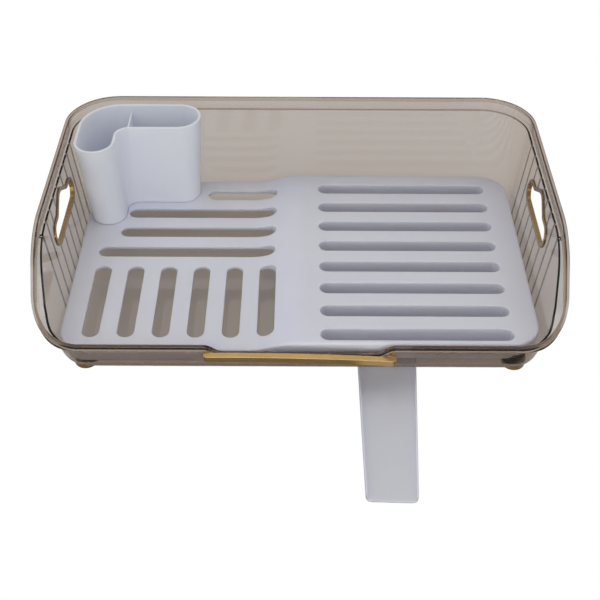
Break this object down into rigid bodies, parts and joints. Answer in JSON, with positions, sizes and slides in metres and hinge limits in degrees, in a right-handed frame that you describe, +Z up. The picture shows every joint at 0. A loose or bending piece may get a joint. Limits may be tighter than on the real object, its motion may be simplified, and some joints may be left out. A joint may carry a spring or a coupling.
{
  "type": "dish drying rack",
  "caption": "Countertop dish drainer: see-through tub with hand holes, slotted drip tray for plates, two-cell cutlery cup and a swivelling drain spout.",
  "frame": {"origin": "on the counter, under the middle of the box that the tub and the open spout fill", "axes": "+Z up, +X to the right as seen from the front, -Y out of the front where the spout points"},
  "size_m": [0.46, 0.417, 0.1235],
  "materials": {
    "smoke_plastic": "clear smoke-tinted plastic, polished",
    "white_plastic": "moulded white plastic, fine satin",
    "gold_plastic": "gold-plated plastic, brushed satin",
    "rubber": "soft matt rubber",
    "steel": "plain steel screws"
  },
  "bodies": {
    "tub": {"tub": "smoke_plastic", "handle_trim_outer_left": "gold_plastic", "handle_trim_outer_right": "gold_plastic", "handle_trim_inner_left": "gold_plastic", "handle_trim_inner_right": "gold_plastic", "front_bar": "gold_plastic", "bar_screw_left": "steel", "bar_screw_right": "steel", "foot_front_left": "gold_plastic", "foot_front_right": "gold_plastic", "foot_back_left": "gold_plastic", "foot_back_right": "gold_plastic", "foot_pad_front_left": "rubber", "foot_pad_front_right": "rubber", "foot_pad_back_left": "rubber", "foot_pad_back_right": "rubber", "spout_retaining_ring": "white_plastic", "drain_strainer": "white_plastic"},
    "rack": {"plate_rack": "white_plastic"},
    "holder": {"cutlery_holder": "white_plastic"},
    "spout": {"drain_spout": "white_plastic"}
  },
  "joints": [
    {"name": "rack_lift", "type": "slide", "parent": "tub", "child": "rack", "axis": [0, 0, 1], "range_m": [0, 0.12]},
    {"name": "holder_lift", "type": "slide", "parent": "rack", "child": "holder", "axis": [0, 0, 1], "range_m": [0, 0.1]},
    {"name": "spout_swivel", "type": "hinge", "parent": "tub", "child": "spout", "pos_m": [0.0798, -0.00428, 0.006], "axis": [0, 0, 1], "range_deg": [-180, 50]}
  ]
}
